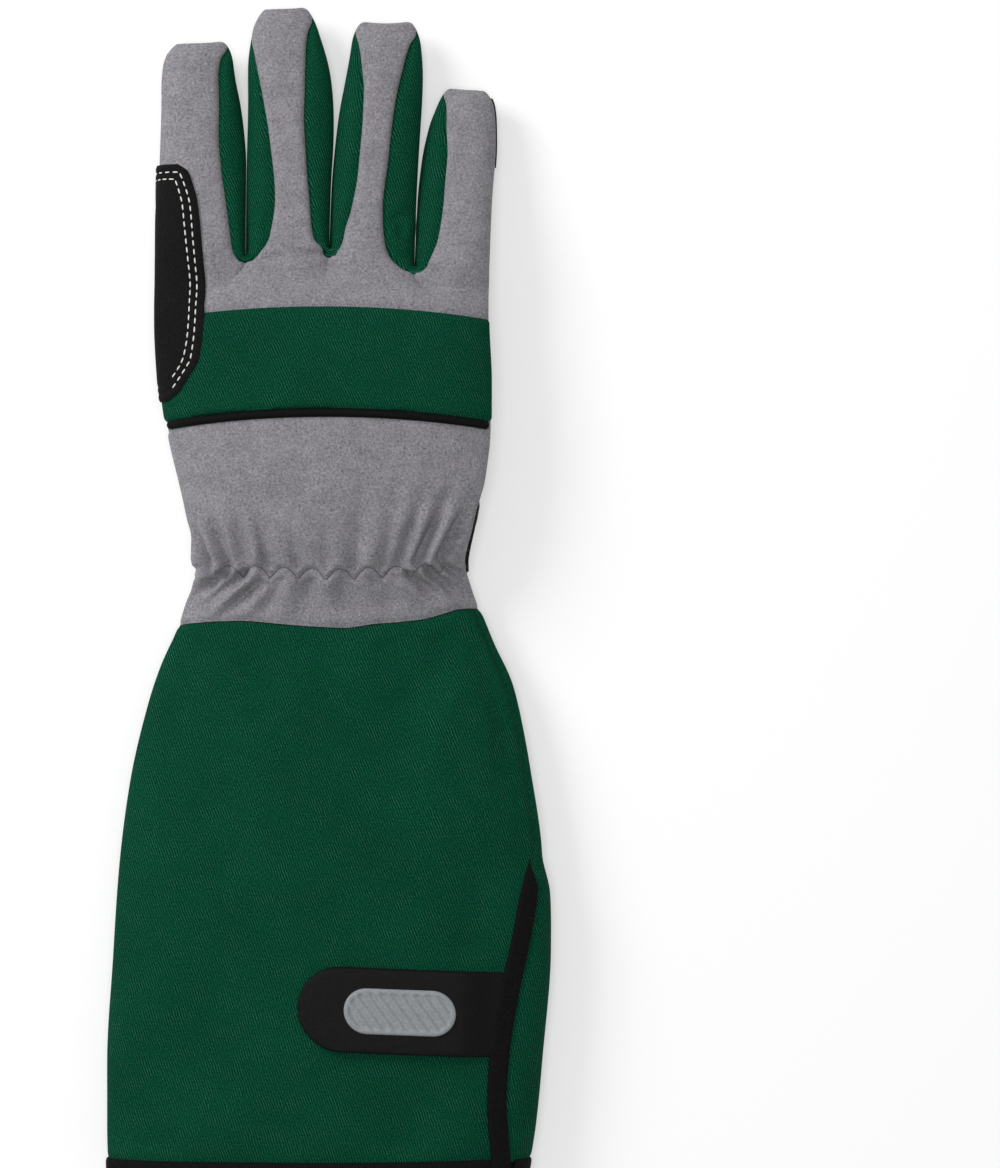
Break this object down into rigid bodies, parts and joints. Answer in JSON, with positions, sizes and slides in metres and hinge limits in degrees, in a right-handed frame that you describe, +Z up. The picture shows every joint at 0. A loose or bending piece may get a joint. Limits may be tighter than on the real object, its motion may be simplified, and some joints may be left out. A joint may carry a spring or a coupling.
{
  "type": "rose pruning gauntlet",
  "caption": "Right-hand rose pruning gauntlet in grey suede and green twill with black palm patches, a long flared cuff and a closing strap, lying on its palm.",
  "frame": {"origin": "middle of the glove's footprint on the surface that it lies on", "axes": "+Y towards the fingertips, +Z up through the back of the hand, the thumb at -X"},
  "size_m": [0.1572, 0.4166, 0.0359],
  "materials": {
    "suede": "heathered grey synthetic suede",
    "twill": "deep green cotton twill",
    "tape": "black binding tape",
    "patch": "black grained patch",
    "strap_rubber": "matte black rubber face",
    "badge_grey": "matte grey rubber"
  },
  "bodies": {
    "root": {"hand_back": "suede", "knuckle_band": "twill", "band_piping": "tape", "wrist_back": "suede", "palm_panel": "suede", "fourchette_index_middle": "twill", "fourchette_middle_ring": "twill", "fourchette_ring_little": "twill", "thumb_outer": "suede", "thumb_inner": "suede", "thumb_welt": "suede", "cuff_back": "twill", "cuff_palm": "twill", "slit_binding": "tape", "hem_binding_back": "tape", "hem_binding_palm": "tape", "palm_patch_upper": "patch", "palm_patch_outer": "patch", "palm_patch_heel": "patch", "fingertip_patch_index": "patch", "fingertip_patch_middle": "patch", "fingertip_patch_ring": "patch", "fingertip_patch_little": "patch", "web_patch_index": "patch", "web_patch_thumb": "patch", "hook_pad": "tape", "strap": "strap_rubber", "strap_badge": "badge_grey"}
  },
  "joints": []
}
